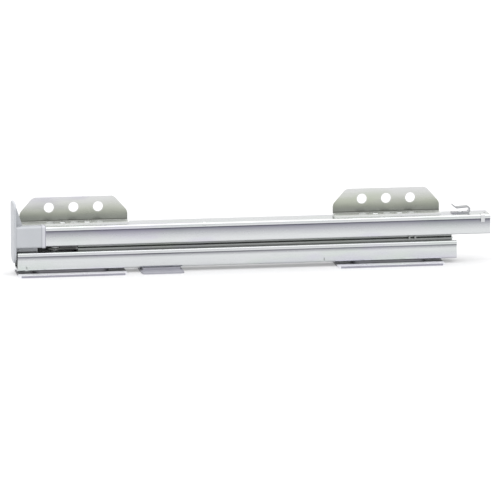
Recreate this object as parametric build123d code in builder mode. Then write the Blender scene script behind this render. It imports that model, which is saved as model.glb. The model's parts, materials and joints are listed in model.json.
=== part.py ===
"""Full-extension ball-bearing slide that carries a pull-out cabinet unit, in its closed position.

Millimetres. X runs along the slide, from its front end at -X to its rear end at +X, and the drawer member
pulls out towards -X. +Y is the side of the upright brackets and +Z is up. The origin is on the cabinet floor,
below the middle of the whole slide.
"""

import os

from build123d import *

os.makedirs("parts", exist_ok=True)

# Lengths along the slide
cabinet_length = 450.0  # cabinet member
rear_overhang = 34.7  # drawer member, past the rear end of the cabinet member
middle_setback = 62.0  # front end of the cabinet member to the front end of the middle member
tongue_length = 33.0  # part of the middle member's lower web that reaches forward of the rest
web_rivet_front = 30.0  # first rivet between the middle member's halves, from their front end
web_rivet_rear = 40.0
web_rivet_pitch = 105.0
travel_lead = 5.0  # how much less than half of the travel the first stage takes

# Channel sections
rail_sheet = 1.8
channel_width = 25.0  # outside the walls
cabinet_height = 18.5
drawer_height = 19.7
member_gap = 6.3  # between the cabinet member and the drawer member
bead_proud = 0.7  # how far the rolled beads stand out of the walls
cabinet_bead = 3.6  # height of each bead
drawer_bead = 4.0
bead_step = 0.9  # height of the slope between wall and bead
wall_waist = 0.5  # how far the drawer member's wall draws in below its bead
wall_foot = 0.35  # and how far it flares out again at its lower edge
lip_reach = 1.9  # lips, inward from the inner face of the wall
middle_clearance = 2.0  # between a lip and the middle member's flange
flange_clearance = 3.1  # between a flange's tip and the channel's floor

# Bearings
ball_diameter = 4.76
race_clearance = 0.06  # around a ball in its groove
ball_pitch = 19.5
ball_height = 8.7  # ball centre, from the outer face of its channel's floor
cage_sheet = 0.8
cage_floor_gap = 1.3  # between the channel's floor and the cage's web
cage_side_height = 9.4
pocket_clearance = 0.12
cage_end_margin = 8.0  # first ball centre, from the end of the cage

# Stops and bumpers
stop_length = 3.5
stop_end_margin = 2.0
stop_play = 0.5
stop_side_play = 0.5
stop_peg_radius = 1.2
stop_overlap = 0.2  # how far a middle stop reaches past its cage's web
bumper_thickness = 4.0
bumper_height = 12.0
bumper_play = 0.2

# Base plates and the foot between them
plate_length = 110.0
plate_width = 50.0
plate_sheet = 2.0
plate_rise = 2.5  # height of the embossed pad that carries the channel
plate_corner = 4.0
pad_length = 78.0
pad_width = 18.0
rear_plate_inset = 14.0  # rear end of the cabinet member to the rear plate's rear edge
plate_screw_hole = 5.2
plate_screw_first = 28.0  # from the plate's front edge
plate_screw_pitch = 40.0
plate_screw_row = 38.0  # across the plate
plate_rivet_pitch = 56.0
foot_gap = 15.0  # between the front plate and the foot
foot_length = 43.0
foot_edge = 2.0
foot_rivet_pitch = 24.0

# Brackets
bracket_sheet = 1.5
bracket_length = 110.0
bracket_top = 75.4
bracket_leg = 16.0  # depth of the leg that lies on the drawer member
bracket_shoulder = 9.0  # height of the straight part of each end
bracket_slope = 14.0  # length of the slanted part of each end
bracket_round = 8.0
bracket_bend = 1.2
bracket_hole = 10.0
bracket_pitch = 25.0
bracket_hole_height = 64.7
bracket_leg_hole_y = 4.0
bracket_proud = 0.5  # outer face of the upright, past the channel's wall
front_bracket_inset = 4.9

# Front cap
cap_reach = 3.9  # cap's face, in front of the cabinet member
cap_plate = 2.5
cap_low = 12.0
cap_high = 74.0
cap_low_corner = 11.0
cap_high_corner = 7.0
sleeve_length = 29.7
sleeve_clearance = 0.1
sleeve_wall = 0.9
sleeve_lip = 3.6
sleeve_lip_proud = 0.4
sleeve_hook = 2.0
gusset_base = 7.0
gusset_sheet = 2.0
gusset_y = -5.0
gusset_top = 72.0
nose_length = 22.4
nose_width = 12.0
nose_height = 4.0
nose_gap = 0.5

# Rivets
rivet_radius = 2.0
rivet_head_radius = 3.4
rivet_head = 0.7
rivet_clearance = 0.05
tongue_rivet_radius = 4.5
hook_rivet_radius = 2.9
tongue_rivet_back = 10.0  # from the tongue's tip

# Rear hook and clip
hook_sheet = 1.2
hook_width = 8.0
hook_y = 2.0
hook_inset = 18.7  # rear end of the drawer member to the hook's bend
hook_leg = 15.0
hook_bend = 2.4
clip_width = 4.0
clip_sheet = 0.8
clip_inset = 8.0
clip_drop = 7.4
clip_reach = 5.0

# Small marks pressed in the steel
notch_height = 5.0
notch_width = 3.2
front_notch = 9.0
rear_notch = 137.0  # from the cabinet member's rear end
bump_front = 190.0  # from the front end of the cabinet member
bump_length = 3.0
bump_proud = 0.7
ear_length = 1.8
ear_reach = 2.4
ear_gap = 0.8
ear_sheet = 1.4
ear_headroom = 0.8  # between an ear's tip and the drawer member's lips
ear_inset = 45.0  # from the middle member's rear end
ear_pitch = 6.0

# Places along X
overall_length = cap_reach + cabinet_length + rear_overhang
cap_face = -overall_length / 2
cap_back = cap_face + cap_plate
cabinet_front = cap_face + cap_reach
cabinet_rear = cabinet_front + cabinet_length
drawer_front = cap_back
drawer_rear = cabinet_rear + rear_overhang
middle_front = cabinet_front + middle_setback
middle_rear = cabinet_rear - bumper_thickness - bumper_play
tongue_tip = middle_front - tongue_length

# Places along Y
wall_outer = channel_width / 2
wall_inner = wall_outer - rail_sheet
bead_outer = wall_outer + bead_proud
lip_edge = wall_inner - lip_reach
flange_outer = lip_edge - middle_clearance
flange_inner = flange_outer - rail_sheet
ball_radius = ball_diameter / 2
ball_y = (wall_inner + flange_outer) / 2
groove_radius = ball_radius + race_clearance

# Heights
plate_top = plate_sheet + plate_rise
cabinet_low = plate_top
cabinet_floor = cabinet_low + rail_sheet
cabinet_top = cabinet_low + cabinet_height
middle_z = cabinet_top + member_gap / 2
drawer_low = cabinet_top + member_gap
drawer_top = drawer_low + drawer_height
drawer_ceiling = drawer_top - rail_sheet
# From the plane between the two stages to a channel's floor, ball row and flange tip; -1 is the lower stage
floor_depth = {-1: middle_z - cabinet_floor, 1: drawer_ceiling - middle_z}
ball_depth = {stage: floor_depth[stage] + rail_sheet - ball_height for stage in (-1, 1)}
flange_depth = {stage: floor_depth[stage] - flange_clearance for stage in (-1, 1)}
cage_depth = {stage: floor_depth[stage] - cage_floor_gap for stage in (-1, 1)}  # outer face of a cage's web

# Travels
full_travel = cabinet_length
middle_travel = full_travel / 2 - travel_lead
drawer_travel = full_travel - middle_travel

# A cage rolls half of its stage's travel, and at full travel it stands between two stops.
stop_room = stop_end_margin + stop_length + stop_play
lower_cage_front = cabinet_front + stop_room + middle_travel / 2
lower_cage_rear = middle_rear - stop_room - middle_travel / 2
upper_cage_front = middle_front + stop_room + drawer_travel / 2
upper_cage_rear = drawer_rear - stop_room - drawer_travel / 2


def span(first, last, pitch):
    """Evenly spaced places from first to last, no further apart than about the pitch."""
    steps = max(1, round((last - first) / pitch))
    return [first + (last - first) * n / steps for n in range(steps + 1)]


def save(piece, name):
    """Label a finished piece and write it."""
    piece.part.label = name
    export_step(piece.part, f"parts/{name}.step")


def rivet(grip, head=rivet_head_radius):
    """A rivet on the Z axis that clamps from Z 0 to Z grip, with a flat rounded head at each end."""
    edge = rivet_head * 0.45
    root = rivet_clearance * 0.8
    with BuildPart() as one:
        with BuildSketch(Plane.XZ):
            with BuildLine():
                outline = FilletPolyline(
                    (0, -rivet_head), (head, -rivet_head), (head, 0), (rivet_radius, 0),
                    (rivet_radius, grip), (head, grip), (head, grip + rivet_head), (0, grip + rivet_head),
                    radius=[edge, edge / 3, root, root, edge / 3, edge],
                )
                Line(outline @ 1, outline @ 0)
            make_face()
        revolve(axis=Axis.Z)
    return one.part


# Cabinet member: a channel open upwards, with a bead and an inward lip along each top edge
plate_fronts = {
    "front_base_plate": cabinet_front,
    "rear_base_plate": cabinet_rear - rear_plate_inset - plate_length,
}
plate_rivets = [
    (front + plate_length / 2 + side * plate_rivet_pitch / 2, 0)
    for front in plate_fronts.values()
    for side in (-1, 1)
]
foot_front = cabinet_front + plate_length + foot_gap
foot_middle = foot_front + foot_length / 2
foot_rivets = [(foot_middle - foot_rivet_pitch / 2, 0), (foot_middle + foot_rivet_pitch / 2, 0)]
front_peg_x = cabinet_front + stop_end_margin + stop_length / 2
bumper_peg_x = cabinet_rear - bumper_thickness / 2

with BuildPart() as cabinet_member:
    with BuildSketch(Plane.YZ.offset(cabinet_front)):
        bead_low = cabinet_top - cabinet_bead
        with BuildLine():
            outline = FilletPolyline(
                (0, cabinet_low), (wall_outer, cabinet_low), (wall_outer, bead_low - bead_step),
                (bead_outer, bead_low), (bead_outer, cabinet_top), (lip_edge, cabinet_top),
                (lip_edge, cabinet_top - rail_sheet), (wall_inner, cabinet_top - rail_sheet),
                (wall_inner, cabinet_floor), (0, cabinet_floor),
                radius=[2.2, 0.4, 0.4, 1.0, 0.4, 0.4, 0.5, 1.0],
            )
            Line(outline @ 1, outline @ 0)
        make_face()
        mirror(about=Plane.YZ)
        with Locations((ball_y, middle_z - ball_depth[-1]), (-ball_y, middle_z - ball_depth[-1])):
            Circle(groove_radius, mode=Mode.SUBTRACT)
    extrude(amount=cabinet_length)
    with BuildSketch(Plane.XY.offset(cabinet_low)):
        with Locations(*plate_rivets, *foot_rivets):
            Circle(rivet_radius + rivet_clearance)
        with Locations((front_peg_x, 0), (bumper_peg_x, 0)):
            Circle(stop_peg_radius + rivet_clearance)
    extrude(amount=rail_sheet, mode=Mode.SUBTRACT)
    # Two marks cut in the foot of the front wall
    with BuildSketch(Plane.XZ.offset(wall_inner)):
        for notch_x in (cabinet_front + front_notch, cabinet_rear - rear_notch):
            with BuildLine():
                Polyline(
                    (notch_x - notch_width / 2, cabinet_low), (notch_x + notch_width / 2, cabinet_low),
                    (notch_x, cabinet_low + notch_height), close=True,
                )
            make_face()
    extrude(amount=2 * rail_sheet, mode=Mode.SUBTRACT)
save(cabinet_member, "cabinet_member")

# Base plates: flat sheet with an embossed pad under the channel and a rectangle of four screw holes
for name, front in plate_fronts.items():
    middle = front + plate_length / 2
    screws_middle = front + plate_screw_first + plate_screw_pitch / 2
    with BuildPart() as base_plate:
        with BuildSketch():
            with Locations((middle, 0)):
                RectangleRounded(plate_length, plate_width, plate_corner)
        extrude(amount=plate_sheet)
        with BuildSketch(Plane.XY.offset(plate_sheet)):
            with Locations((middle, 0)):
                SlotOverall(pad_length, pad_width)
        extrude(amount=plate_rise, taper=8)
        with BuildSketch():
            with Locations((middle, 0)):
                SlotOverall(pad_length - 2 * plate_sheet, pad_width - 2 * plate_sheet)
        extrude(amount=plate_rise, taper=8, mode=Mode.SUBTRACT)
        with BuildSketch():
            with Locations((screws_middle, 0)):
                with GridLocations(plate_screw_pitch, plate_screw_row, 2, 2):
                    Circle(plate_screw_hole / 2)
            with Locations((middle, 0)):
                with GridLocations(plate_rivet_pitch, 0, 2, 1):
                    Circle(rivet_radius + rivet_clearance)
        extrude(amount=plate_top, mode=Mode.SUBTRACT)
    save(base_plate, name)

# Rivets through the pads and the channel's floor
with BuildPart() as base_plate_rivets:
    with Locations(*[(x, y, plate_rise) for x, y in plate_rivets]):
        add(rivet(plate_sheet + rail_sheet))
save(base_plate_rivets, "base_plate_rivets")

# Moulded foot that carries the channel between the plates
with BuildPart() as middle_foot:
    with BuildSketch():
        with Locations((foot_middle, 0)):
            RectangleRounded(foot_length, plate_width, plate_corner)
    extrude(amount=foot_edge)
    chamfer(edges().group_by(Axis.Z)[-1], foot_edge / 4)
    with BuildSketch(Plane.XY.offset(foot_edge)):
        with Locations((foot_middle, 0)):
            RectangleRounded(foot_length - 4, channel_width, plate_corner / 2)
    extrude(amount=plate_top - foot_edge)
    with BuildSketch():
        with Locations(*foot_rivets):
            Circle(rivet_head_radius + 1)
    extrude(amount=plate_rise, mode=Mode.SUBTRACT)
    with BuildSketch():
        with Locations(*foot_rivets):
            Circle(rivet_radius + rivet_clearance)
    extrude(amount=plate_top, mode=Mode.SUBTRACT)
save(middle_foot, "middle_foot")

with BuildPart() as middle_foot_rivets:
    with Locations(*[(x, y, plate_rise) for x, y in foot_rivets]):
        add(rivet(plate_sheet + rail_sheet))
save(middle_foot_rivets, "middle_foot_rivets")

# Stop on the cabinet member's floor, ahead of the lower cage at full travel
low_stop_height = flange_clearance - stop_play
with BuildPart() as cabinet_front_stop:
    with BuildSketch(Plane.XY.offset(cabinet_floor)):
        with Locations((front_peg_x, 0)):
            RectangleRounded(stop_length, 2 * (lip_edge - stop_play), 0.8)
    extrude(amount=low_stop_height)
    chamfer(edges().group_by(Axis.Z)[-1], 0.4)
    with BuildSketch(Plane.XY.offset(cabinet_floor)):
        with Locations((front_peg_x, 0)):
            Circle(stop_peg_radius)
    extrude(amount=-rail_sheet)
save(cabinet_front_stop, "cabinet_front_stop")

# Soft stop that the middle member meets when the slide closes
with BuildPart() as cabinet_rear_bumper:
    with BuildSketch(Plane.XY.offset(cabinet_floor)):
        with Locations((bumper_peg_x, 0)):
            RectangleRounded(bumper_thickness, 2 * (wall_inner - 2), 1.2)
    extrude(amount=bumper_height)
    fillet(edges().group_by(Axis.Z)[-1], 0.8)
    with BuildSketch(Plane.XY.offset(cabinet_floor)):
        with Locations((bumper_peg_x, 0)):
            Circle(stop_peg_radius)
    extrude(amount=-rail_sheet)
save(cabinet_rear_bumper, "cabinet_rear_bumper")

# Middle member: two channels back to back, joined web to web by rivets
web_rivet_places = span(middle_front + web_rivet_front, middle_rear - web_rivet_rear, web_rivet_pitch)
web_rivets = [(x, 0) for x in web_rivet_places]
tongue_rivet_x = tongue_tip + tongue_rivet_back
rear_stop_x = middle_rear - stop_end_margin - stop_length / 2
front_stop_x = middle_front + stop_end_margin + stop_length / 2
ear_top = drawer_low - ear_headroom


def middle_half(stage, start):
    """One channel of the middle member, from X start back; stage -1 opens down and 1 opens up."""
    tip = middle_z + stage * flange_depth[stage]
    web = middle_z + stage * rail_sheet
    with BuildPart() as half:
        with BuildSketch(Plane.YZ.offset(middle_front)):
            with BuildLine():
                outline = FilletPolyline(
                    (0, middle_z), (flange_outer, middle_z), (flange_outer, tip), (flange_inner, tip),
                    (flange_inner, web), (0, web),
                    radius=[1.6, 0.5, 0.5, 0.4],
                )
                Line(outline @ 1, outline @ 0)
            make_face()
            mirror(about=Plane.YZ)
            grooves = middle_z + stage * ball_depth[stage]
            with Locations((ball_y, grooves), (-ball_y, grooves)):
                Circle(groove_radius, mode=Mode.SUBTRACT)
        extrude(amount=middle_rear - middle_front)
        if start < middle_front:
            with BuildSketch(Plane.XY.offset(middle_z)):
                with BuildLine():
                    Polyline(
                        (middle_front + 1, -flange_inner), (start + 4, -flange_inner),
                        (start, -flange_inner + 3), (start, flange_inner - 3),
                        (start + 4, flange_inner), (middle_front + 1, flange_inner), close=True,
                    )
                make_face()
            extrude(amount=stage * rail_sheet)
            # Two ears bent out of the web's edge and up, in the gap between the outer members
            with BuildSketch(Plane.YZ.offset(middle_rear - ear_inset)):
                with BuildLine():
                    Polyline(
                        (-flange_inner, middle_z), (-flange_outer - ear_gap, middle_z),
                        (-flange_outer - ear_gap, ear_top), (-flange_outer - ear_reach, ear_top),
                        (-flange_outer - ear_reach, middle_z - ear_sheet),
                        (-flange_inner, middle_z - ear_sheet), close=True,
                    )
                make_face()
            ear = extrude(amount=ear_length)
            with Locations((ear_pitch, 0, 0)):
                add(ear)
        with BuildSketch(Plane.XY.offset(middle_z)):
            with Locations(*web_rivets):
                Circle(rivet_radius + rivet_clearance)
            if start < middle_front:
                with Locations((tongue_rivet_x, 0)):
                    Circle(rivet_radius + rivet_clearance)
            with Locations((front_stop_x if stage > 0 else rear_stop_x, 0)):
                Circle(stop_peg_radius + rivet_clearance)
        extrude(amount=stage * rail_sheet, mode=Mode.SUBTRACT)
    return half


middle_member_lower = middle_half(-1, tongue_tip)
save(middle_member_lower, "middle_member_lower")
middle_member_upper = middle_half(1, middle_front)
save(middle_member_upper, "middle_member_upper")

with BuildPart() as middle_rivets:
    with Locations(*[(x, y, middle_z - rail_sheet) for x, y in web_rivets]):
        add(rivet(2 * rail_sheet))
save(middle_rivets, "middle_rivets")

with BuildPart() as middle_front_rivet:
    with Locations((tongue_rivet_x, 0, middle_z - rail_sheet)):
        add(rivet(rail_sheet, head=tongue_rivet_radius))
save(middle_front_rivet, "middle_front_rivet")

# Soft stop on the tongue's tip, which the cap's nose meets when the slide closes
nose_rear = cap_back + nose_length
bumper_front = nose_rear + bumper_play
bumper_back = tongue_rivet_x - tongue_rivet_radius - 0.5
with BuildPart() as middle_front_bumper:
    with BuildSketch(Plane.XY.offset(middle_z - rail_sheet - 0.9)):
        with Locations(((bumper_front + bumper_back) / 2, 0)):
            RectangleRounded(bumper_back - bumper_front, 2 * flange_inner, 1.2)
    extrude(amount=rail_sheet + 1.8)
    with BuildSketch(Plane.XZ.offset(-flange_outer)):
        with Locations(((tongue_tip + bumper_back) / 2 + 1, middle_z - rail_sheet / 2)):
            Rectangle(bumper_back - tongue_tip + 2, rail_sheet)
    extrude(amount=2 * flange_outer, mode=Mode.SUBTRACT)
save(middle_front_bumper, "middle_front_bumper")


def middle_stop(stage, place):
    """A moulded stop between the flanges of one half, deep enough to meet its cage's web."""
    web = middle_z + stage * rail_sheet
    depth = cage_depth[stage] + stop_overlap - rail_sheet
    with BuildPart() as stop:
        with BuildSketch(Plane.XY.offset(web)):
            with Locations((place, 0)):
                RectangleRounded(stop_length, 2 * (flange_inner - stop_side_play), 0.8)
        extrude(amount=stage * depth)
        with BuildSketch(Plane.XY.offset(web)):
            with Locations((place, 0)):
                Circle(stop_peg_radius)
        extrude(amount=-stage * rail_sheet)
    return stop


middle_rear_stop = middle_stop(-1, rear_stop_x)
save(middle_rear_stop, "middle_rear_stop")
middle_front_stop = middle_stop(1, front_stop_x)
save(middle_front_stop, "middle_front_stop")


# Ball cages and their balls
def bearing(stage, front, rear):
    """One stage's cage and balls; stage -1 is the lower one and 1 the upper one."""
    far = middle_z + stage * cage_depth[stage]
    near = far - stage * cage_side_height
    web = far - stage * cage_sheet
    side_out = ball_y + cage_sheet / 2
    side_in = ball_y - cage_sheet / 2
    height = middle_z + stage * ball_depth[stage]
    places = span(front + cage_end_margin, rear - cage_end_margin, ball_pitch)
    with BuildPart() as cage:
        with BuildSketch(Plane.YZ.offset(front)):
            with BuildLine():
                outline = FilletPolyline(
                    (0, far), (side_out, far), (side_out, near), (side_in, near), (side_in, web), (0, web),
                    radius=[1.0, 0.2, 0.2, 0.3],
                )
                Line(outline @ 1, outline @ 0)
            make_face()
            mirror(about=Plane.YZ)
        extrude(amount=rear - front)
        with BuildSketch(Plane.XZ.offset(-wall_inner)):
            with Locations(*[(x, height) for x in places]):
                Circle(ball_radius + pocket_clearance)
        extrude(amount=2 * wall_inner, mode=Mode.SUBTRACT)
    with BuildPart() as balls:
        with Locations(*[(x, side * ball_y, height) for x in places for side in (-1, 1)]):
            Sphere(ball_radius)
    return cage, balls


lower_ball_cage, lower_balls = bearing(-1, lower_cage_front, lower_cage_rear)
save(lower_ball_cage, "lower_ball_cage")
save(lower_balls, "lower_balls")
upper_ball_cage, upper_balls = bearing(1, upper_cage_front, upper_cage_rear)
save(upper_ball_cage, "upper_ball_cage")
save(upper_balls, "upper_balls")

# Drawer member: a channel closed on top, beaded at its top corners, with inward lips below
bracket_fronts = {
    "front_bracket": cabinet_front + front_bracket_inset,
    "rear_bracket": cabinet_rear - rear_plate_inset - bracket_length,
}
bracket_rivet_places = [
    (front + bracket_length / 2 + side * bracket_pitch / 2, bracket_leg_hole_y)
    for front in bracket_fronts.values()
    for side in (-1, 1)
]
hook_rear = drawer_rear - hook_inset
hook_rivet_x = hook_rear - hook_bend - hook_leg / 2
drawer_stop_x = drawer_rear - stop_end_margin - stop_length / 2
bump_x = cabinet_front + bump_front

with BuildPart() as drawer_member:
    with BuildSketch(Plane.YZ.offset(drawer_front)):
        bead_low = drawer_top - drawer_bead
        waist = wall_outer - wall_waist
        middle = wall_outer - wall_waist / 2
        foot = wall_outer + wall_foot
        with BuildLine():
            outline = FilletPolyline(
                (0, drawer_top), (bead_outer, drawer_top), (bead_outer, bead_low), (waist, bead_low - bead_step),
                (middle, (drawer_low + bead_low) / 2), (foot, drawer_low), (lip_edge, drawer_low),
                (lip_edge, drawer_low + rail_sheet),
                (wall_inner, drawer_low + rail_sheet), (wall_inner, drawer_ceiling), (0, drawer_ceiling),
                radius=[1.3, 0.5, 0.9, 60.0, 1.0, 0.4, 0.4, 0.5, 1.0],
            )
            Line(outline @ 1, outline @ 0)
        make_face()
        mirror(about=Plane.YZ)
        with Locations((ball_y, middle_z + ball_depth[1]), (-ball_y, middle_z + ball_depth[1])):
            Circle(groove_radius, mode=Mode.SUBTRACT)
    extrude(amount=drawer_rear - drawer_front)
    with BuildSketch(Plane.XY.offset(drawer_ceiling)):
        with Locations(*bracket_rivet_places, (hook_rivet_x, hook_y)):
            Circle(rivet_radius + rivet_clearance)
        with Locations((drawer_stop_x, 0)):
            Circle(stop_peg_radius + rivet_clearance)
    extrude(amount=rail_sheet, mode=Mode.SUBTRACT)
    # A small lanced bump on the front bead
    with BuildSketch(Plane.YZ.offset(bump_x - bump_length / 2)):
        with Locations((-bead_outer + 1.5, drawer_top - 1.5)):
            Circle(1.5 + bump_proud)
    extrude(amount=bump_length)
    with BuildSketch(Plane.YZ.offset(bump_x - bump_length / 2)):
        with Locations((-wall_inner + 2, drawer_ceiling - 2)):
            Rectangle(4, 4)
    extrude(amount=bump_length, mode=Mode.SUBTRACT)
save(drawer_member, "drawer_member")

# Brackets: angles with a row of three holes in each leg
bracket_y = wall_outer + bracket_proud
for name, front in bracket_fronts.items():
    middle = front + bracket_length / 2
    with BuildPart() as bracket:
        with BuildSketch(Plane.YZ.offset(front)):
            with BuildLine():
                outline = FilletPolyline(
                    (bracket_y - bracket_leg, drawer_top), (bracket_y, drawer_top), (bracket_y, bracket_top),
                    (bracket_y - bracket_sheet, bracket_top),
                    (bracket_y - bracket_sheet, drawer_top + bracket_sheet),
                    (bracket_y - bracket_leg, drawer_top + bracket_sheet),
                    radius=[bracket_bend + bracket_sheet, 0.2, 0.2, bracket_bend],
                )
                Line(outline @ 1, outline @ 0)
            make_face()
        extrude(amount=bracket_length)
        # The upright's outline: straight ends, then long slopes up to the top edge
        with BuildSketch(Plane.XZ.offset(-bracket_y - 1)):
            with BuildLine():
                shoulder = drawer_top + bracket_sheet + bracket_shoulder
                outline = FilletPolyline(
                    (front, drawer_top - 1), (front, shoulder), (front + bracket_slope, bracket_top),
                    (front + bracket_length - bracket_slope, bracket_top), (front + bracket_length, shoulder),
                    (front + bracket_length, drawer_top - 1),
                    radius=[bracket_round, bracket_round, bracket_round, bracket_round],
                )
                Line(outline @ 1, outline @ 0)
            make_face()
        extrude(amount=bracket_leg + 2, mode=Mode.INTERSECT)
        with BuildSketch(Plane.XZ.offset(-bracket_y - 1)):
            with Locations((middle, bracket_hole_height)):
                with GridLocations(bracket_pitch, 0, 3, 1):
                    Circle(bracket_hole / 2)
        extrude(amount=bracket_sheet + 2, mode=Mode.SUBTRACT)
        with BuildSketch(Plane.XY.offset(drawer_top)):
            with Locations((middle, bracket_leg_hole_y)):
                with GridLocations(bracket_pitch, 0, 3, 1):
                    Circle(bracket_hole / 2)
                with GridLocations(bracket_pitch, 0, 2, 1):
                    Circle(rivet_radius + rivet_clearance)
        extrude(amount=bracket_sheet, mode=Mode.SUBTRACT)
    save(bracket, name)

with BuildPart() as bracket_rivets:
    with Locations(*[(x, y, drawer_ceiling) for x, y in bracket_rivet_places]):
        add(rivet(rail_sheet + bracket_sheet))
save(bracket_rivets, "bracket_rivets")

# Stop inside the drawer member's rear end, behind the upper cage at full travel
with BuildPart() as drawer_rear_stop:
    with BuildSketch(Plane.XY.offset(drawer_ceiling)):
        with Locations((drawer_stop_x, 0)):
            RectangleRounded(stop_length, 2 * (lip_edge - stop_play), 0.8)
    extrude(amount=-low_stop_height)
    chamfer(edges().group_by(Axis.Z)[0], 0.4)
    with BuildSketch(Plane.XY.offset(drawer_ceiling)):
        with Locations((drawer_stop_x, 0)):
            Circle(stop_peg_radius)
    extrude(amount=rail_sheet)
save(drawer_rear_stop, "drawer_rear_stop")

# Front cap: face plate, sleeve over the drawer member's front end, gusset and nose in one moulding
sleeve_inner = bead_outer + sleeve_clearance
sleeve_half = sleeve_inner + sleeve_wall
sleeve_top = drawer_top + sleeve_clearance + sleeve_wall
sleeve_low = drawer_low - sleeve_clearance - sleeve_wall
sleeve_open_y = bracket_y - bracket_leg - 0.5
nose_low = cabinet_top + nose_gap


def sleeve_section(grown):
    """The sleeve's outline, wrapped round the channel, with its outside grown outwards."""
    half = sleeve_half + grown
    top = sleeve_top + grown
    low = sleeve_low - grown
    with Locations((0, (top + low) / 2)):
        RectangleRounded(2 * half, top - low, 2.0)
    inner_top = drawer_top + sleeve_clearance
    inner_low = drawer_low - sleeve_clearance
    with Locations((0, (inner_top + inner_low) / 2)):
        RectangleRounded(2 * sleeve_inner, inner_top - inner_low, 1.0, mode=Mode.SUBTRACT)
    with Locations((0, low)):
        Rectangle(2 * (sleeve_half - sleeve_wall - sleeve_hook), 3 * (sleeve_wall + grown), mode=Mode.SUBTRACT)
    with Locations((sleeve_open_y, drawer_top - 0.2)):
        Rectangle(3 * half, 4 * (sleeve_wall + grown), align=(Align.MIN, Align.MIN), mode=Mode.SUBTRACT)


with BuildPart() as front_cap:
    with BuildSketch(Plane.YZ.offset(cap_face)) as face:
        with Locations((0, (cap_low + cap_high) / 2)):
            Rectangle(2 * sleeve_half, cap_high - cap_low)
        fillet(face.vertices().group_by(Axis.Y)[0], cap_low_corner)
        fillet(face.vertices().group_by(Axis.Y)[-1], cap_high_corner)
    extrude(amount=cap_plate)
    fillet(faces().sort_by(Axis.X)[0].edges(), 1.1)
    fillet(faces().sort_by(Axis.X)[-1].edges(), 0.5)
    with BuildSketch(Plane.YZ.offset(cap_back)):
        sleeve_section(0)
    extrude(amount=sleeve_length)
    with BuildSketch(Plane.YZ.offset(cap_back + sleeve_length - sleeve_lip)):
        sleeve_section(sleeve_lip_proud)
    extrude(amount=sleeve_lip)
    with BuildSketch(Plane.XZ.offset(-gusset_y - gusset_sheet / 2)):
        with BuildLine():
            Polyline(
                (cap_back - 0.5, sleeve_top - 0.5), (cap_back + gusset_base, sleeve_top - 0.5),
                (cap_back + gusset_base, sleeve_top + 0.5), (cap_back, gusset_top),
                (cap_back - 0.5, gusset_top), close=True,
            )
        make_face()
    extrude(amount=gusset_sheet)
    with BuildSketch(Plane.XY.offset(nose_low)):
        with Locations((cap_back - 0.5, 0)):
            Rectangle(nose_length + 0.5, nose_width, align=(Align.MIN, Align.CENTER))
    extrude(amount=nose_height)
save(front_cap, "front_cap")

# Rear hook: a spring strip bent back over itself
with BuildPart() as rear_hook:
    outer_bend = hook_bend + hook_sheet
    with BuildSketch(Plane.XZ.offset(-hook_y - hook_width / 2)):
        leg_low = drawer_top
        leg_high = drawer_top + 2 * hook_bend + hook_sheet
        with BuildLine():
            path = FilletPolyline(
                (hook_rear - outer_bend - hook_leg, leg_low + hook_sheet / 2),
                (hook_rear - hook_sheet / 2, leg_low + hook_sheet / 2),
                (hook_rear - hook_sheet / 2, leg_high + hook_sheet / 2),
                (hook_rear - outer_bend - hook_leg * 0.72, leg_high - 0.4),
                (hook_rear - outer_bend - hook_leg * 0.95, leg_high + 2.4),
                radius=[hook_bend - 0.1, hook_bend - 0.1, 1.6],
            )
            offset(path, amount=hook_sheet / 2, side=Side.BOTH, closed=True, kind=Kind.INTERSECTION)
        make_face()
    extrude(amount=hook_width)
    with BuildSketch(Plane.XY.offset(drawer_top)):
        with Locations((hook_rivet_x, hook_y)):
            Circle(rivet_radius + rivet_clearance)
    extrude(amount=hook_sheet, mode=Mode.SUBTRACT)
save(rear_hook, "rear_hook")

with BuildPart() as rear_hook_rivet:
    with Locations((hook_rivet_x, hook_y, drawer_ceiling)):
        add(rivet(rail_sheet + hook_sheet, head=hook_rivet_radius))
save(rear_hook_rivet, "rear_hook_rivet")

# Clip over the front bead at the rear end
clip_x = drawer_rear - clip_inset
with BuildPart() as rear_end_clip:
    with BuildSketch(Plane.YZ.offset(clip_x - clip_width / 2)):
        with BuildLine():
            outline = FilletPolyline(
                (-bead_outer, drawer_top - clip_drop), (-bead_outer, drawer_top),
                (-bead_outer + clip_reach, drawer_top), (-bead_outer + clip_reach, drawer_top + clip_sheet),
                (-bead_outer - clip_sheet, drawer_top + clip_sheet),
                (-bead_outer - clip_sheet, drawer_top - clip_drop),
                radius=[0.8, 0.1, 0.1, 1.6],
            )
            Line(outline @ 1, outline @ 0)
        make_face()
    extrude(amount=clip_width)
save(rear_end_clip, "rear_end_clip")
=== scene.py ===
import json
from math import cos, radians, sin

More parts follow.
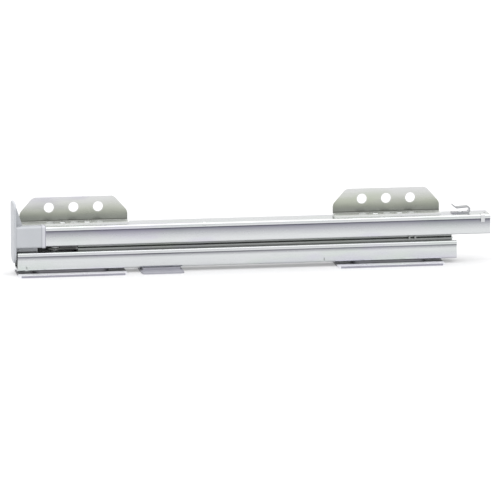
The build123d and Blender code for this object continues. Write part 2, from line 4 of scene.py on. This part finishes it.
import bpy
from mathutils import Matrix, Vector


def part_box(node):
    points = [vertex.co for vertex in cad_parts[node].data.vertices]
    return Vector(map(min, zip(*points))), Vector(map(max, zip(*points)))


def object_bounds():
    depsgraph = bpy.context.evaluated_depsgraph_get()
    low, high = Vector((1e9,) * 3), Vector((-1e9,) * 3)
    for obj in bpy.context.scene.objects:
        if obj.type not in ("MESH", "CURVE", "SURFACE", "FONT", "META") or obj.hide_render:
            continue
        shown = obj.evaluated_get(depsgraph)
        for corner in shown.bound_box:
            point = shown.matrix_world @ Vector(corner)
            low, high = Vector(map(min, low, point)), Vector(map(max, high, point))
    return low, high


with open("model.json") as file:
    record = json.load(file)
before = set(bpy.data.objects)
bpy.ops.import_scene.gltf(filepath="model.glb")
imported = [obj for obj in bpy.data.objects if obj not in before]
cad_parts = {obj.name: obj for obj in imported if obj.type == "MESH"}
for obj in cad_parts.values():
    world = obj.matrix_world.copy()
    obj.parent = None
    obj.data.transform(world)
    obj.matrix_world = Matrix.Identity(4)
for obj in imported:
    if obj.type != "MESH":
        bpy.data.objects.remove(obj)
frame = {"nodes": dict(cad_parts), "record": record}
cadLow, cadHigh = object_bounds()  # the CAD box, before anything is added


# --- node building ---
class Wire:
    # an output socket that takes part in sums; each operator adds one Math node
    def __init__(self, build, socket):
        self.build, self.socket = build, socket

    def __add__(self, other):
        return self.build.math("ADD", self, other)

    def __radd__(self, other):
        return self.build.math("ADD", other, self)

    def __sub__(self, other):
        return self.build.math("SUBTRACT", self, other)

    def __rsub__(self, other):
        return self.build.math("SUBTRACT", other, self)

    def __mul__(self, other):
        return self.build.math("MULTIPLY", self, other)

    def __rmul__(self, other):
        return self.build.math("MULTIPLY", other, self)

    def __truediv__(self, other):
        return self.build.math("DIVIDE", self, other)

    def __pow__(self, other):
        return self.build.math("POWER", self, other)


class Build:
    # one material's or the world's node tree
    def __init__(self, owner):
        owner.use_nodes = True
        self.tree = owner.node_tree
        self.tree.nodes.clear()

    def node(self, kind, settings=None, inputs=None, out=0):
        # settings first, then the sockets' values or links; returns the output as a Wire
        made = self.tree.nodes.new(kind)
        for key, value in (settings or {}).items():
            setattr(made, key, value)
        for key, value in (inputs or {}).items():
            if isinstance(value, Wire):
                self.tree.links.new(value.socket, made.inputs[key])
            else:
                made.inputs[key].default_value = value
        return Wire(self, made.outputs[out]) if len(made.outputs) else None

    def math(self, operation, first, second):
        return self.node("ShaderNodeMath", {"operation": operation}, {0: first, 1: second})

    def absolute(self, value):
        return self.node("ShaderNodeMath", {"operation": "ABSOLUTE"}, {0: value})

    def limit(self, value):
        return self.node("ShaderNodeClamp", {}, {0: value})

    def mix(self, factor, first, second):
        # first and second are colours; slots 6 and 7 are the Mix node's colour inputs
        return self.node("ShaderNodeMix", {"data_type": "RGBA"}, {0: factor, 6: first, 7: second}, out=2)

    def place(self):
        return self.node("ShaderNodeTexCoord", out="Object")

    def scaled(self, vector, stretch):
        return self.node("ShaderNodeMapping", {}, {"Vector": vector, "Scale": stretch})

    def part(self, vector, axis):
        return self.node("ShaderNodeSeparateXYZ", {}, {0: vector}, out=axis)

    def noise(self, vector, scale, detail=3.0, rough=0.5):
        return self.node("ShaderNodeTexNoise", {}, {
            "Vector": vector, "Scale": scale, "Detail": detail, "Roughness": rough})

    def step(self, value, low, high):
        # 0 below low, 1 above high, smooth between
        return self.node("ShaderNodeMapRange", {"interpolation_type": "SMOOTHSTEP"}, {
            0: value, 1: low, 2: high, 3: 0.0, 4: 1.0})

    def bump(self, height, depth):
        return self.node("ShaderNodeBump", {}, {"Height": height, "Distance": depth, "Strength": 1.0})

    def finish(self, **values):
        # short names for the shader's sockets
        sockets = {
            "colour": "Base Color", "rough": "Roughness", "metal": "Metallic", "normal": "Normal",
            "specular": "Specular IOR Level", "glow": "Emission Color", "glowLevel": "Emission Strength"}
        shader = self.node("ShaderNodeBsdfPrincipled", {}, {sockets[k]: v for k, v in values.items()})
        self.node("ShaderNodeOutputMaterial", {}, {"Surface": shader})


def newMaterial(name):
    material = bpy.data.materials.new(name)
    return material, Build(material)


# --- finishes ---
# Colours are linear. Streaks run along X as sheet steel is rolled; lengths are in metres.
steelLooks = {
    "zinc_steel": {
        "plain": (0.63, 0.645, 0.65), "green": (0.575, 0.63, 0.585), "violet": (0.58, 0.565, 0.645),
        "rough": 0.22, "tint": 0.60, "streak": 0.06, "grain": 0.0000022},
    # painted shade: the middle member's colours are dark for the shaded gap between the channels
    "middle_steel": {
        "plain": (0.265, 0.275, 0.27), "green": (0.23, 0.255, 0.22), "violet": (0.24, 0.235, 0.28),
        "rough": 0.34, "tint": 0.6, "streak": 0.08, "grain": 0.000003},
    "rivet_steel": {
        "plain": (0.78, 0.79, 0.80), "green": (0.74, 0.77, 0.74), "violet": (0.74, 0.73, 0.79),
        "rough": 0.24, "tint": 0.3, "streak": 0.03, "grain": 0.000002},
    # painted highlight: the front rivet is near white and only partly metallic, so it stays bright in the
    # gap's shade
    "middle_front_rivet": {
        "plain": (0.93, 0.935, 0.94), "green": (0.90, 0.92, 0.90), "violet": (0.90, 0.89, 0.93),
        "rough": 0.45, "tint": 0.2, "streak": 0.03, "grain": 0.000002, "metal": 0.3},
    "spring_steel": {
        "plain": (0.60, 0.61, 0.62), "green": (0.54, 0.57, 0.54), "violet": (0.55, 0.54, 0.61),
        "rough": 0.22, "tint": 0.4, "streak": 0.04, "grain": 0.000002},
    "rear_hook": {
        "plain": (0.34, 0.345, 0.36), "green": (0.30, 0.32, 0.30), "violet": (0.30, 0.29, 0.35),
        "rough": 0.24, "tint": 0.4, "streak": 0.04, "grain": 0.000002},
    "cage_steel": {
        "plain": (0.40, 0.41, 0.42), "green": (0.36, 0.38, 0.34), "violet": (0.37, 0.36, 0.41),
        "rough": 0.32, "tint": 0.5, "streak": 0.05, "grain": 0.000002},
}


# how plated sheet is worked: each stretch is along X, Y and Z
sheetWear = {"streaks": (22.0, 1500.0, 1500.0), "fine": (240.0, 5200.0, 5200.0), "drift": (9.0, 42.0, 42.0),
             "second": (14.0, 60.0, 60.0), "smear": (70.0, 160.0, 160.0), "scratch": (34.0, 2600.0, 2600.0),
             "specks": 1900.0, "dull": (0.30, 0.30, 0.31), "bright": (0.86, 0.86, 0.88)}


def steelSheet(build, look):
    # returns colour, roughness and normal of plated sheet: rolled streaks, drifting tints, smears and specks
    place = build.place()
    streaks = build.noise(build.scaled(place, sheetWear["streaks"]), 1.0, 4.0, 0.6)
    fine = build.noise(build.scaled(place, sheetWear["fine"]), 1.0, 2.0, 0.5)
    drift = build.noise(build.scaled(place, sheetWear["drift"]), 1.0, 2.0, 0.5)
    second = build.noise(build.scaled(place, sheetWear["second"]), 1.0, 2.0, 0.5)
    smear = build.noise(build.scaled(place, sheetWear["smear"]), 1.0, 5.0, 0.62)
    scratch = build.step(build.noise(build.scaled(place, sheetWear["scratch"]), 1.0, 1.0), 0.70, 0.76)
    specks = build.step(build.noise(place, sheetWear["specks"], 1.0), 0.70, 0.78)
    green = build.step(drift, 0.50, 0.68) * look["tint"]
    violet = build.step(second, 0.52, 0.70) * look["tint"]
    colour = build.mix(green, (*look["plain"], 1.0), (*look["green"], 1.0))
    colour = build.mix(violet, colour, (*look["violet"], 1.0))
    dull = build.limit((streaks - 0.5) * 0.30 + specks * 0.10 + build.step(smear, 0.56, 0.80) * 0.07)
    colour = build.mix(dull, colour, (*sheetWear["dull"], 1.0))
    colour = build.mix(scratch * 0.22, colour, (*sheetWear["bright"], 1.0))
    rough = look["rough"] + (streaks - 0.5) * look["streak"] * 2
    rough = rough + build.step(smear, 0.5, 0.78) * 0.07 + specks * 0.06
    normal = build.bump(streaks * 0.7 + fine * 0.3 - scratch * 0.5, look["grain"])
    return place, colour, rough, normal


def makeSteel(name):
    material, build = newMaterial(name)
    place, colour, rough, normal = steelSheet(build, steelLooks[name])
    build.finish(colour=colour, rough=rough, metal=steelLooks[name].get("metal", 1.0), normal=normal)
    return material


# painted shade: the channels darken under their rolled beads and along the bottom bend
channelShade = {"foot": (0.16, 0.155, 0.17), "groove": (0.22, 0.22, 0.25), "greaseAndShade": (0.105, 0.102, 0.092),
                "grooveWidth": 0.0005, "edgeLow": 0.0005, "edgeHigh": 0.0007,
                "skinFade": 0.0002, "sideFade": 0.0003}
channelLooks = {
    "cabinet_member": {
        "bead": 0.0036, "fade": 0.0042, "ease": 1.2, "most": 0.90, "dark": (0.085, 0.080, 0.110),
        "foot": 0.0013, "footMost": 0.35, "groove": 0.0019,
        "inner": 0.0105, "skinLow": 0.0017, "skinHigh": 0.0017},
    "drawer_member": {
        "bead": 0.0046, "fade": 0.0125, "ease": 1.6, "most": 0.92, "dark": (0.085, 0.078, 0.128),
        "foot": 0.0014, "footMost": 0.55, "groove": 0.0027,
        "inner": 0.0105, "skinLow": 0.0, "skinHigh": 0.0017},
}


def makeChannel(node):
    material, build = newMaterial(node + "_finish")
    place, colour, rough, normal = steelSheet(build, steelLooks["zinc_steel"])
    look = channelLooks[node]
    low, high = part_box(node)
    wander = (build.noise(build.scaled(place, (7.0, 20.0, 20.0)), 1.0, 2.0) - 0.5) * 0.0016
    height = build.part(place, "Z")
    edge = high[2] - look["bead"]
    # painted shade under the rolled bead, fading down the wall
    depth = build.limit((edge - height + wander) / look["fade"])
    below = 1.0 - build.step(height, edge - channelShade["edgeLow"], edge + channelShade["edgeHigh"])
    shade = (1.0 - depth) ** look["ease"] * below * look["most"]
    colour = build.mix(shade, colour, (*look["dark"], 1.0))
    # painted shade along the bottom bend
    foot = 1.0 - build.step(height + wander * 0.3, low[2], low[2] + look["foot"])
    colour = build.mix(foot * look["footMost"], colour, (*channelShade["foot"], 1.0))
    groove = height - (high[2] - look["groove"])
    # a faint line of painted shade at the crease where the bead was rolled
    line = 1.0 - build.step(groove * groove, 0.0, channelShade["grooveWidth"] ** 2)
    colour = build.mix(line * 0.30, colour, (*channelShade["groove"], 1.0))
    aside = build.absolute(build.part(place, "Y"))
    # painted shade inside, with grease, between the skins of the floor and the lips
    skinLow, skinHigh = low[2] + look["skinLow"], high[2] - look["skinHigh"]
    inside = 1.0 - build.step(aside, look["inner"], look["inner"] + channelShade["sideFade"])
    inside = inside * build.step(height, skinLow, skinLow + channelShade["skinFade"])
    inside = inside * (1.0 - build.step(height, skinHigh - channelShade["skinFade"], skinHigh))
    colour = build.mix(inside * 0.75, colour, (*channelShade["greaseAndShade"], 1.0))
    build.finish(colour=colour, rough=rough + shade * 0.12 + inside * 0.15, metal=1.0, normal=normal)
    return material


tongueLook = {"dark": (0.060, 0.060, 0.058), "fade": 0.003}


def makeTongue(node):
    # the middle member, shaded along the tongue that reaches forward of its upper half
    material, build = newMaterial(node + "_finish")
    place, colour, rough, normal = steelSheet(build, steelLooks["middle_steel"])
    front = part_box("middle_member_upper")[0][0]
    tongue = 1.0 - build.step(build.part(place, "X"), front - tongueLook["fade"], front)
    colour = build.mix(tongue * 0.85, colour, (*tongueLook["dark"], 1.0))
    build.finish(colour=colour, rough=rough + tongue * 0.12, metal=1.0, normal=normal)
    return material


plateLook = {"plain": (0.76, 0.76, 0.79), "green": (0.72, 0.75, 0.73), "violet": (0.70, 0.69, 0.78),
             "rough": 0.42, "tint": 0.5, "streak": 0.06, "grain": 0.0000025,
             "under": 0.0112, "fade": 0.0024, "dark": (0.075, 0.073, 0.085), "cut": (0.21, 0.205, 0.255),
             "edgeStart": 0.0006, "edgeEnd": 0.0002, "cover": 0.85}


def makePlate(node):
    # bright on top; nearly black under the channel as a painted shadow; the sheared edge dull and darkened
    # by painted shade
    material, build = newMaterial(node + "_finish")
    place, colour, rough, normal = steelSheet(build, plateLook)
    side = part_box(node)[1][1]
    aside = build.absolute(build.part(place, "Y"))
    # painted shadow under the channel
    under = 1.0 - build.step(aside, plateLook["under"], plateLook["under"] + plateLook["fade"])
    # painted shade on the sheared edge, which is also dull steel
    edge = build.step(aside, side - plateLook["edgeStart"], side - plateLook["edgeEnd"])
    colour = build.mix(under * plateLook["cover"], colour, (*plateLook["dark"], 1.0))
    colour = build.mix(edge * plateLook["cover"], colour, (*plateLook["cut"], 1.0))
    build.finish(colour=colour, rough=rough + edge * 0.15, metal=0.35 + under * 0.5, normal=normal)
    return material


bracketLook = {"plain": (0.625, 0.63, 0.625), "green": (0.49, 0.53, 0.445), "violet": (0.50, 0.49, 0.55),
               "rough": 0.29, "tint": 0.7, "streak": 0.07, "grain": 0.0000028,
               "foot": (0.155, 0.165, 0.145), "waist": (0.34, 0.365, 0.275), "leg": (0.72, 0.73, 0.71),
               "sheet": 0.00155, "sheetFade": 0.0004, "rim": 0.0009, "bendLow": 0.0024, "bendHigh": 0.0034,
               "bend": (0.055, 0.058, 0.050), "rubbed": (0.78, 0.78, 0.80)}


def holeRims(build, place, node):
    # 1 in a narrow ring round each hole of the upright leg, whose row of three the record's mounts give
    row = next(m for m in frame["record"]["mounts"] if m["name"] == node + "_outer_holes")
    middle, pitch = row["pos_m"], row["dims"]["spacing_x_mm"] / 2000
    radius = row["dims"]["hole_r_mm"] / 1000
    along, up = build.part(place, "X"), build.part(place, "Z") - middle[2]
    rings = []
    for step in (-1, 0, 1):
        across = along - (middle[0] + step * pitch)
        away = (across * across + up * up) ** 0.5
        rings.append(1.0 - build.step(away, radius, radius + bracketLook["rim"]))
    return build.limit(rings[0] + rings[1] + rings[2])


def makeBracket(node):
    # satin plate: olive and painted shade towards the bend, painted light on the leg, a burnished rim round
    # each punched hole
    material, build = newMaterial(node + "_finish")
    place, colour, rough, normal = steelSheet(build, bracketLook)
    low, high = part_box(node)
    height = build.part(place, "Z")
    wander = (build.noise(build.scaled(place, (26.0, 40.0, 60.0)), 1.0, 3.0) - 0.5) * 0.006
    upper = build.step(height + wander, low[2] + 0.007, high[2] - 0.001)
    lower = build.step(height + wander, low[2] + 0.003, low[2] + 0.017)
    # olive tint, darkening to painted shade towards the foot of the upright
    oliveAndShade = build.mix(lower, (*bracketLook["foot"], 1.0), (*bracketLook["waist"], 1.0))
    skin = low[2] + bracketLook["sheet"]
    upright = build.step(height, skin, skin + bracketLook["sheetFade"])
    colour = build.mix(upright * (1.0 - upper) * 0.88, colour, oliveAndShade)
    # painted shade in the inner bend
    bendLow, bendHigh = low[2] + bracketLook["bendLow"], low[2] + bracketLook["bendHigh"]
    bend = upright * (1.0 - build.step(height, bendLow, bendHigh))
    colour = build.mix(bend * 0.8, colour, (*bracketLook["bend"], 1.0))
    # painted light: the flat leg is lighter, as lit from above
    colour = build.mix((1.0 - upright) * 0.7, colour, (*bracketLook["leg"], 1.0))
    colour = build.mix(holeRims(build, place, node) * 0.30, colour, (*bracketLook["rubbed"], 1.0))
    rough = rough + (1.0 - upright) * 0.16
    build.finish(colour=colour, rough=rough, metal=1.0, normal=normal)
    return material


plasticLooks = {
    "cap_plastic": {
        "low": (0.365, 0.382, 0.400), "high": (0.415, 0.425, 0.450), "rough": 0.46, "grain": 0.000012},
    "foot_plastic": {
        "low": (0.250, 0.250, 0.285), "high": (0.310, 0.310, 0.345), "rough": 0.52, "grain": 0.000014},
    "stop_plastic": {
        "low": (0.070, 0.070, 0.075), "high": (0.095, 0.095, 0.100), "rough": 0.48, "grain": 0.000012},
}
capLook = {"lip": 0.0036, "lipFade": 0.0002, "line": 0.00045, "seamShade": (0.150, 0.145, 0.185),
           "pale": (0.56, 0.56, 0.60)}


def capEdges(build, place, colour):
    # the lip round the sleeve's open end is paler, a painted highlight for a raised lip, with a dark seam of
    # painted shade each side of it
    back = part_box("front_cap")[1][0] - build.part(place, "X")  # distance from the sleeve's open end
    lip = 1.0 - build.step(back, capLook["lip"] - capLook["lipFade"], capLook["lip"] + capLook["lipFade"])
    away = back - (capLook["lip"] + capLook["line"])
    # painted shade at the seam and at the open end
    seamShade = (1.0 - build.step(away * away, 0.0, capLook["line"] ** 2)) * 0.35
    end = (1.0 - build.step(back, capLook["line"], capLook["line"] * 2)) * 0.75
    colour = build.mix(lip * 0.45, colour, (*capLook["pale"], 1.0))
    return build.mix(build.limit(seamShade + end), colour, (*capLook["seamShade"], 1.0))


def makePlastic(name):
    # moulded plastic: a spark-eroded grain, faint flow marks and slightly shiny rubbed patches
    look = plasticLooks[name]
    material, build = newMaterial(name)
    place = build.place()
    grain = build.noise(place, 2600.0, 2.0, 0.6)
    flow = build.noise(build.scaled(place, (60.0, 60.0, 22.0)), 1.0, 4.0, 0.55)
    rubbed = build.step(build.noise(place, 110.0, 3.0), 0.55, 0.75)
    colour = build.mix(flow, (*look["low"], 1.0), (*look["high"], 1.0))
    colour = build.mix(build.step(grain, 0.45, 0.75) * 0.10, colour, (0.75, 0.75, 0.78, 1.0))
    rough = look["rough"] + (grain - 0.5) * 0.12 - rubbed * 0.10
    if name == "cap_plastic":
        colour = capEdges(build, place, colour)
    build.finish(colour=colour, rough=rough, normal=build.bump(grain, look["grain"]), specular=0.5)
    return material


rubberLook = {"low": (0.016, 0.016, 0.017), "high": (0.042, 0.041, 0.043), "rough": 0.62, "grain": 0.00002}


def makeRubber(name):
    material, build = newMaterial(name)
    place = build.place()
    grain = build.noise(place, 1800.0, 3.0, 0.6)
    bloom = build.step(build.noise(place, 190.0, 4.0), 0.45, 0.75)
    colour = build.mix(bloom, (*rubberLook["low"], 1.0), (*rubberLook["high"], 1.0))
    rough = rubberLook["rough"] + bloom * 0.15 + (grain - 0.5) * 0.1
    build.finish(colour=colour, rough=rough, normal=build.bump(grain, rubberLook["grain"]), specular=0.35)
    return material


ballLook = {"steel": (0.80, 0.81, 0.83), "greaseAndShade": (0.60, 0.57, 0.46), "rough": 0.07, "grain": 0.000002}


def makeBalls(name):
    # polished balls with a thin smear of grease
    material, build = newMaterial(name)
    place = build.place()
    greaseAndShade = build.step(build.noise(place, 420.0, 3.0), 0.48, 0.72)
    colour = build.mix(greaseAndShade, (*ballLook["steel"], 1.0), (*ballLook["greaseAndShade"], 1.0))
    normal = build.bump(build.noise(place, 900.0, 2.0), ballLook["grain"])
    build.finish(colour=colour, rough=ballLook["rough"] + greaseAndShade * 0.22, metal=1.0, normal=normal)
    return material


materials = {name: makeSteel(name) for name in steelLooks}
materials.update({name: makePlastic(name) for name in plasticLooks})
materials["bumper_rubber"] = makeRubber("bumper_rubber")
materials["ball_steel"] = makeBalls("ball_steel")
slotOf = {row["node"]: row["material_slot"] for row in frame["record"]["subparts"]}
for node, thing in frame["nodes"].items():
    slot = slotOf[node]
    if slot == "bracket_steel":
        finish = makeBracket(node)
    elif slot == "plate_steel":
        finish = makePlate(node)
    elif node in channelLooks:
        finish = makeChannel(node)
    elif node == "middle_member_lower":
        finish = makeTongue(node)
    else:
        finish = materials.get(node, materials[slot])
    thing.data.materials.clear()
    thing.data.materials.append(finish)
print("finishes made:", len(bpy.data.materials))

# --- studio ---
studio = {
    "floorSize": 14.0, "floorColour": (0.47, 0.47, 0.475), "floorPale": (0.495, 0.495, 0.50),
    "floorGlow": 0.25, "floorGrain": 0.00002,
    "sky": 1.75, "behind": 0.85, "front": 1.12,
    "key": {"size": (1.2, 0.6), "power": 2.2, "from": (-0.3, -0.5, 1.5)},
    "rim": {"size": (1.8, 0.6), "power": 1.2, "from": (0.3, 1.0, 1.1)},
}


def makeFloor():
    half = studio["floorSize"] / 2
    mesh = bpy.data.meshes.new("studioFloor")
    corners = [(-half, -half, 0), (half, -half, 0), (half, half, 0), (-half, half, 0)]
    mesh.from_pydata(corners, [], [(0, 1, 2, 3)])
    floor = bpy.data.objects.new("studioFloor", mesh)
    bpy.context.scene.collection.objects.link(floor)
    material, build = newMaterial("paperFloor")
    grain = build.noise(build.place(), 300.0, 3.0)
    colour = build.mix(grain, (*studio["floorColour"], 1.0), (*studio["floorPale"], 1.0))
    build.finish(colour=colour, rough=0.9, normal=build.bump(grain, studio["floorGrain"]),
                 glow=(1.0, 1.0, 1.0, 1.0), glowLevel=studio["floorGlow"])
    mesh.materials.append(material)


def makeWorld():
    # an even white studio, a little brighter overhead than at the horizon
    world = bpy.data.worlds.new("studioWorld")
    bpy.context.scene.world = world
    build = Build(world)
    way = build.node("ShaderNodeTexCoord", out="Generated")
    drop = studio["front"] - studio["behind"]
    level = studio["front"] - build.step(build.part(way, "Y"), -0.8, 0.8) * drop
    level = level + build.step(build.part(way, "Z"), 0.05, 0.75) * (studio["sky"] - studio["behind"])
    light = build.node("ShaderNodeBackground", {}, {"Color": (1.0, 1.0, 1.0, 1.0), "Strength": level})
    build.node("ShaderNodeOutputWorld", {}, {"Surface": light})


def makeLamp(name):
    look = studio[name]
    lamp = bpy.data.lights.new(name + "Light", "AREA")
    lamp.shape, lamp.size, lamp.size_y = "RECTANGLE", *look["size"]
    lamp.energy = look["power"]
    thing = bpy.data.objects.new(name + "Light", lamp)
    thing.location = look["from"]
    thing.rotation_mode = "QUATERNION"
    thing.rotation_quaternion = (-Vector(look["from"])).to_track_quat("-Z", "Y")
    bpy.context.scene.collection.objects.link(thing)


viewpoint = {"azimuth": -9.2, "elevation": 10.7, "distance": 6.0, "lens": 425.95,
             "aimAcross": -0.0016, "aimUp": -0.0202, "sensor": 36.0, "near": 0.05, "far": 60.0}


def makeCamera():
    turn, rise = radians(viewpoint["azimuth"]), radians(viewpoint["elevation"])
    back = Vector((sin(turn) * cos(rise), -cos(turn) * cos(rise), sin(rise)))
    across = Vector((0, 0, 1)).cross(back).normalized()
    up = back.cross(across)
    centre = (Vector(cadLow) + Vector(cadHigh)) / 2
    aim = centre + across * viewpoint["aimAcross"] + up * viewpoint["aimUp"]
    camera = bpy.data.cameras.new("studioCamera")
    camera.sensor_width = viewpoint["sensor"]
    camera.lens = viewpoint["lens"]
    camera.clip_start, camera.clip_end = viewpoint["near"], viewpoint["far"]
    thing = bpy.data.objects.new("studioCamera", camera)
    thing.location = aim + back * viewpoint["distance"]
    thing.rotation_mode = "QUATERNION"
    thing.rotation_quaternion = back.to_track_quat("Z", "Y")
    bpy.context.scene.collection.objects.link(thing)
    bpy.context.scene.camera = thing


makeFloor()
makeWorld()
makeLamp("key")
makeLamp("rim")
makeCamera()
bpy.context.scene.view_settings.view_transform = "Standard"
print("studio ready")
